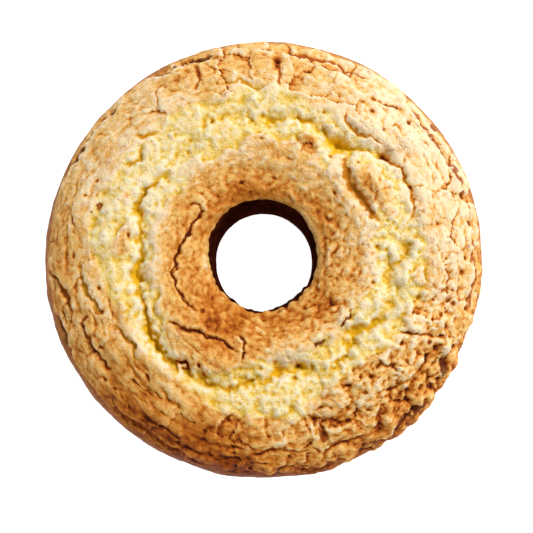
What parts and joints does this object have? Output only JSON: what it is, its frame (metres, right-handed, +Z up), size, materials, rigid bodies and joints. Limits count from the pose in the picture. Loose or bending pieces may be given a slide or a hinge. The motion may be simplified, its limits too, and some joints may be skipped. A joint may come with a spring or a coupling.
{
  "type": "ring cake",
  "caption": "Round ring cake with a cracked golden crust, a raised browned collar around a straight central hole, sides that lean outwards and a flat base.",
  "frame": {"origin": "middle of the footprint, on the plane the cake rests on", "axes": "+Z up along the axis of the central hole; the cake has no front, so +X and +Y are chosen only to fix where its cracks lie"},
  "size_m": [0.239, 0.2382, 0.065],
  "materials": {
    "cake_crust": "matt baked cake crust, golden brown, with pale yellow crumb showing in the cracks"
  },
  "bodies": {
    "root": {"ring_cake": "cake_crust"}
  },
  "joints": []
}
